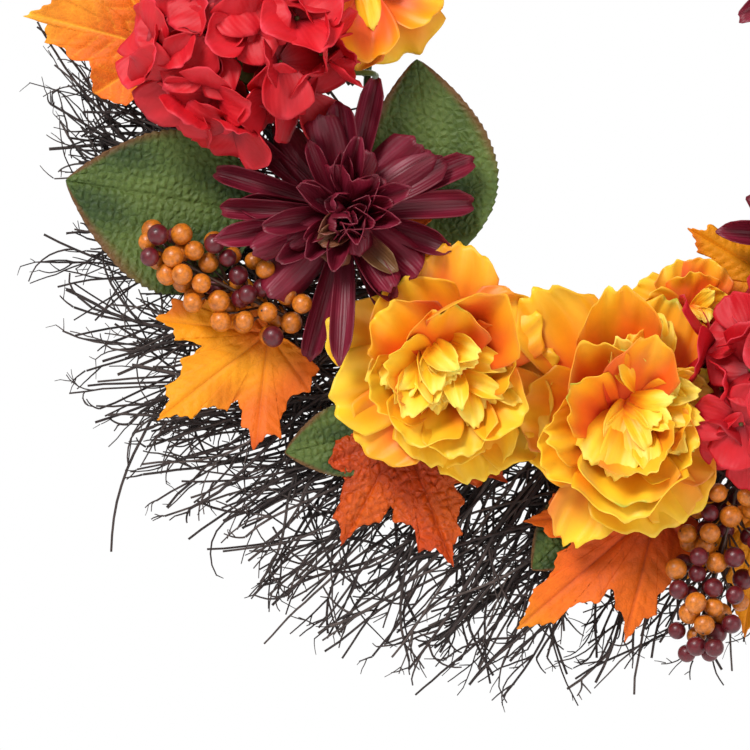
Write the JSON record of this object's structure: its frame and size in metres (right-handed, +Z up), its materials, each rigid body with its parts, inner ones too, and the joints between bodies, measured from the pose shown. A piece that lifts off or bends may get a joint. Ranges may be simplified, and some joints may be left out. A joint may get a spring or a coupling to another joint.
{
  "type": "harvest door wreath",
  "caption": "Round harvest door wreath: swept twigs bound to a wire ring, with silk peonies, mums, hydrangeas, maple leaves, berry sprays and a folding hanging loop.",
  "frame": {"origin": "inside top of the hanging loop, where a door hook carries the wreath", "axes": "+Z up, the front faces -Y and the door is the plane Y = 5 mm, +X to the right as seen from the front"},
  "size_m": [0.5946, 0.109, 0.5947],
  "materials": {
    "frame_wire": "satin dark green enamel",
    "wire": "dull green coated wire",
    "twig": "dry dark bark",
    "peony": "moulded silk, yellow to orange",
    "mum": "moulded silk, burgundy",
    "hydrangea": "moulded silk, red",
    "stem": "matt green",
    "maple_gold": "printed fabric, gold and orange",
    "maple_rust": "printed fabric, rust",
    "green_leaf": "embossed fabric, green",
    "berry": "satin lacquer, orange and burgundy"
  },
  "bodies": {
    "wreath": {"peony_stem_1": "stem", "peony_stem_2": "stem", "peony_stem_3": "stem", "peony_stem_4": "stem", "peony_stem_5": "stem", "peony_stem_6": "stem", "peony_stem_7": "stem", "mum_stem_1": "stem", "mum_stem_2": "stem", "mum_stem_3": "stem", "mum_stem_4": "stem", "hydrangea_stem_1": "stem", "hydrangea_stem_2": "stem", "hydrangea_stem_3": "stem", "maple_leaf_1": "maple_gold", "maple_leaf_2": "maple_gold", "maple_leaf_3": "maple_rust", "maple_leaf_4": "maple_rust", "maple_leaf_5": "maple_gold", "maple_leaf_6": "maple_gold", "maple_leaf_7": "maple_gold", "maple_leaf_8": "maple_rust", "maple_leaf_9": "maple_rust", "maple_leaf_10": "maple_gold", "green_leaf_1": "green_leaf", "green_leaf_2": "green_leaf", "green_leaf_3": "green_leaf", "green_leaf_4": "green_leaf", "green_leaf_5": "green_leaf", "green_leaf_6": "green_leaf", "berry_spray_1": "berry", "berry_spray_2": "berry", "berry_spray_3": "berry", "berry_spray_4": "berry", "twig_bundle_1": "twig", "twig_bundle_2": "twig", "twig_bundle_3": "twig", "twig_bundle_4": "twig", "twig_bundle_5": "twig", "twig_bundle_6": "twig", "twig_bundle_7": "twig", "twig_bundle_8": "twig", "outer_ring": "frame_wire", "inner_ring": "frame_wire", "binding_wire": "wire"},
    "loop": {"hanging_loop": "wire"},
    "peony_1": {"peony_bloom_1": "peony"},
    "peony_2": {"peony_bloom_2": "peony"},
    "peony_3": {"peony_bloom_3": "peony"},
    "peony_4": {"peony_bloom_4": "peony"},
    "peony_5": {"peony_bloom_5": "peony"},
    "peony_6": {"peony_bloom_6": "peony"},
    "peony_7": {"peony_bloom_7": "peony"},
    "mum_1": {"mum_bloom_1": "mum"},
    "mum_2": {"mum_bloom_2": "mum"},
    "mum_3": {"mum_bloom_3": "mum"},
    "mum_4": {"mum_bloom_4": "mum"},
    "hydrangea_1": {"hydrangea_bloom_1": "hydrangea"},
    "hydrangea_2": {"hydrangea_bloom_2": "hydrangea"},
    "hydrangea_3": {"hydrangea_bloom_3": "hydrangea"}
  },
  "joints": [
    {"name": "hanging_loop_fold", "type": "hinge", "parent": "wreath", "child": "loop", "pos_m": [0, 0, -0.034], "axis": [-1, 0, 0], "range_deg": [0, 120]},
    {"name": "peony_1_turn", "type": "hinge", "parent": "wreath", "child": "peony_1", "pos_m": [-0.07419, -0.048, -0.32381], "axis": [0, -1, 0], "range_deg": [-15, 15]},
    {"name": "peony_2_turn", "type": "hinge", "parent": "wreath", "child": "peony_2", "pos_m": [0.00995, -0.048, -0.34814], "axis": [0, -1, 0], "range_deg": [-15, 15]},
    {"name": "peony_3_turn", "type": "hinge", "parent": "wreath", "child": "peony_3", "pos_m": [0.04383, -0.048, -0.29392], "axis": [0, -1, 0], "range_deg": [-15, 15]},
    {"name": "peony_4_turn", "type": "hinge", "parent": "wreath", "child": "peony_4", "pos_m": [-0.11328, -0.048, -0.13501], "axis": [0, -1, 0], "range_deg": [-15, 15]},
    {"name": "peony_5_turn", "type": "hinge", "parent": "wreath", "child": "peony_5", "pos_m": [-0.1338, -0.048, -0.05624], "axis": [0, -1, 0], "range_deg": [-15, 15]},
    {"name": "peony_6_turn", "type": "hinge", "parent": "wreath", "child": "peony_6", "pos_m": [0.00593, -0.048, -0.01555], "axis": [0, -1, 0], "range_deg": [-15, 15]},
    {"name": "peony_7_turn", "type": "hinge", "parent": "wreath", "child": "peony_7", "pos_m": [0.16997, -0.048, -0.18841], "axis": [0, -1, 0], "range_deg": [-15, 15]},
    {"name": "mum_1_turn", "type": "hinge", "parent": "wreath", "child": "mum_1", "pos_m": [-0.12207, -0.048, -0.24764], "axis": [0, -1, 0], "range_deg": [-15, 15]},
    {"name": "mum_2_turn", "type": "hinge", "parent": "wreath", "child": "mum_2", "pos_m": [0.12644, -0.048, -0.25844], "axis": [0, -1, 0], "range_deg": [-15, 15]},
    {"name": "mum_3_turn", "type": "hinge", "parent": "wreath", "child": "mum_3", "pos_m": [-0.05611, -0.048, -0.0704], "axis": [0, -1, 0], "range_deg": [-15, 15]},
    {"name": "mum_4_turn", "type": "hinge", "parent": "wreath", "child": "mum_4", "pos_m": [0.12361, -0.048, -0.11972], "axis": [0, -1, 0], "range_deg": [-15, 15]},
    {"name": "hydrangea_1_turn", "type": "hinge", "parent": "wreath", "child": "hydrangea_1", "pos_m": [-0.16785, -0.048, -0.17841], "axis": [0, -1, 0], "range_deg": [-15, 15]},
    {"name": "hydrangea_2_turn", "type": "hinge", "parent": "wreath", "child": "hydrangea_2", "pos_m": [0.09493, -0.048, -0.32887], "axis": [0, -1, 0], "range_deg": [-15, 15]},
    {"name": "hydrangea_3_turn", "type": "hinge", "parent": "wreath", "child": "hydrangea_3", "pos_m": [0.09394, -0.048, -0.04616], "axis": [0, -1, 0], "range_deg": [-15, 15]}
  ]
}
